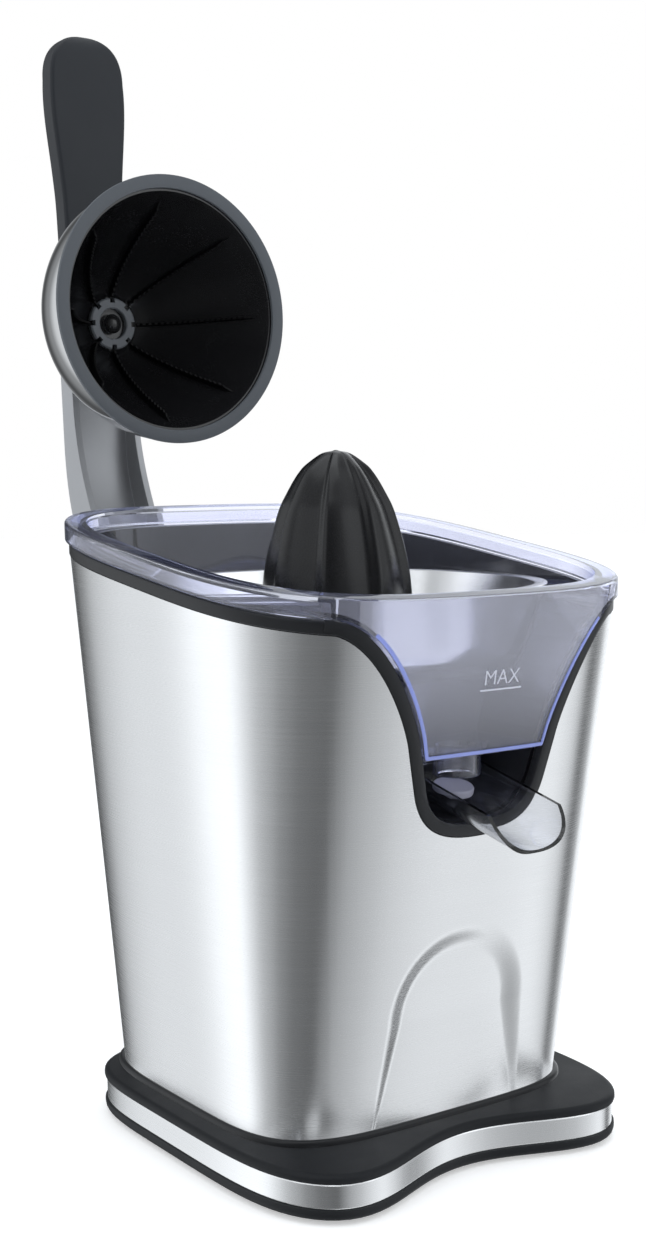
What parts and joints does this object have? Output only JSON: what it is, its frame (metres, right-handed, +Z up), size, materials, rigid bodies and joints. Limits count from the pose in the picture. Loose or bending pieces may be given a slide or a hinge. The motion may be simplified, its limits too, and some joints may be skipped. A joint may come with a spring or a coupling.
{
  "type": "citrus press juicer",
  "caption": "Steel-bodied electric citrus press with a clear juice collector, ribbed reamer, tilting spout and a hinged lever carrying a fruit dome.",
  "frame": {"origin": "centre of the whole press's footprint, lever raised, on the surface it stands on", "axes": "+Z up; +Y to the back, where the lever hinges; the spout points towards -Y, and +X is to the right of somebody facing the spout"},
  "size_m": [0.2018, 0.3578, 0.5057],
  "materials": {
    "brushed_steel": "brushed",
    "polished_steel": "polished",
    "plain_steel": "machined",
    "cast_silver": "satin die casting",
    "black_satin": "satin moulded",
    "black_matte": "matte moulded",
    "grey_rim": "satin moulded",
    "grey_rubber": "matte",
    "dark_rubber": "matte",
    "nylon": "natural nylon",
    "bronze": "sintered",
    "clear_plastic": "clear polished"
  },
  "bodies": {
    "stand": {"base_bottom_cover": "black_satin", "base_trim_band": "brushed_steel", "base_top_cover": "black_satin", "rubber_foot_1": "dark_rubber", "rubber_foot_2": "dark_rubber", "rubber_foot_3": "dark_rubber", "rubber_foot_4": "dark_rubber", "base_screw_1": "plain_steel", "base_screw_2": "plain_steel", "base_screw_3": "plain_steel", "base_screw_4": "plain_steel", "body_collar": "black_satin", "cord_gland": "dark_rubber", "body_shell": "brushed_steel", "rim_trim": "black_satin", "inner_housing": "black_satin", "shaft_seal": "dark_rubber", "spout_pin": "plain_steel", "hinge_bracket": "cast_silver", "lever_stop": "dark_rubber", "pivot_shaft": "plain_steel", "pivot_cap_left": "black_satin", "pivot_cap_right": "black_satin", "bracket_screw_1": "plain_steel", "bracket_screw_2": "plain_steel", "gear_axle": "plain_steel", "gearbox_lower": "black_matte", "gearbox_lid": "black_matte", "shaft_bush_lower": "bronze", "shaft_bush_upper": "bronze", "gearbox_post_1": "plain_steel", "gearbox_post_2": "plain_steel", "gearbox_post_3": "plain_steel", "motor_can": "plain_steel", "motor_end_cap": "black_matte", "switch_body": "black_matte", "switch_bracket": "plain_steel"},
    "lever": {"lever_arm": "cast_silver", "lever_grip": "black_matte", "pivot_bush_left": "bronze", "pivot_bush_right": "bronze", "dome_cover": "polished_steel", "dome_liner": "black_satin", "dome_rim": "grey_rim", "dome_hub_ring": "grey_rubber", "dome_button": "black_satin", "dome_screw": "plain_steel"},
    "collector": {"juice_collector": "clear_plastic"},
    "strainer_dish": {"strainer": "polished_steel"},
    "reamer": {"reamer_cone": "black_satin"},
    "pouring_spout": {"spout": "clear_plastic", "spout_seal": "grey_rubber"},
    "rotor": {"motor_rotor": "plain_steel", "motor_pinion": "bronze", "cooling_fan": "black_matte"},
    "idler": {"intermediate_gear": "nylon"},
    "output": {"output_gear": "nylon", "press_spring": "plain_steel"},
    "shaft": {"drive_shaft": "plain_steel"},
    "plunger": {"switch_plunger": "nylon"}
  },
  "joints": [
    {"name": "lever_pivot", "type": "hinge", "parent": "stand", "child": "lever", "pos_m": [0, 0.07835, 0.2409], "axis": [-1, 0, 0], "range_deg": [-92, 0]},
    {"name": "motor_spin", "type": "hinge", "parent": "stand", "child": "rotor", "pos_m": [0, -0.00115, 0.1], "axis": [0, 0, 1], "continuous": true},
    {"name": "idler_spin", "type": "hinge", "parent": "stand", "child": "idler", "pos_m": [0.0244, -0.01867, 0.14], "axis": [0, 0, 1], "continuous": true},
    {"name": "output_spin", "type": "hinge", "parent": "stand", "child": "output", "pos_m": [0, -0.04715, 0.126], "axis": [0, 0, 1], "continuous": true},
    {"name": "shaft_press", "type": "slide", "parent": "output", "child": "shaft", "axis": [0, 0, 1], "range_m": [-0.002, 0], "stiffness_N_per_m": 800, "springref_m": 0.004, "deforming": ["press_spring"]},
    {"name": "switch_press", "type": "slide", "parent": "stand", "child": "plunger", "axis": [0, 0, 1], "range_m": [-0.002, 0]},
    {"name": "collector_lift", "type": "slide", "parent": "stand", "child": "collector", "axis": [0, 0, 1], "range_m": [0, 0.1]},
    {"name": "strainer_lift", "type": "slide", "parent": "stand", "child": "strainer_dish", "axis": [0, 0, 1], "range_m": [0, 0.165]},
    {"name": "reamer_lift", "type": "slide", "parent": "shaft", "child": "reamer", "axis": [0, 0, 1], "range_m": [0, 0.205]},
    {"name": "spout_tilt", "type": "hinge", "parent": "stand", "child": "pouring_spout", "pos_m": [0, -0.11115, 0.1748], "axis": [-1, 0, 0], "range_deg": [0, 12.5]}
  ],
  "couplings": [
    {"joint": "idler_spin", "follows": "motor_spin", "ratio": -0.25},
    {"joint": "output_spin", "follows": "motor_spin", "ratio": 0.0625},
    {"joint": "switch_press", "follows": "shaft_press", "ratio": 1},
    {"joint": "strainer_lift", "follows": "collector_lift", "ratio": 1.65},
    {"joint": "reamer_lift", "follows": "collector_lift", "ratio": 2.05}
  ]
}
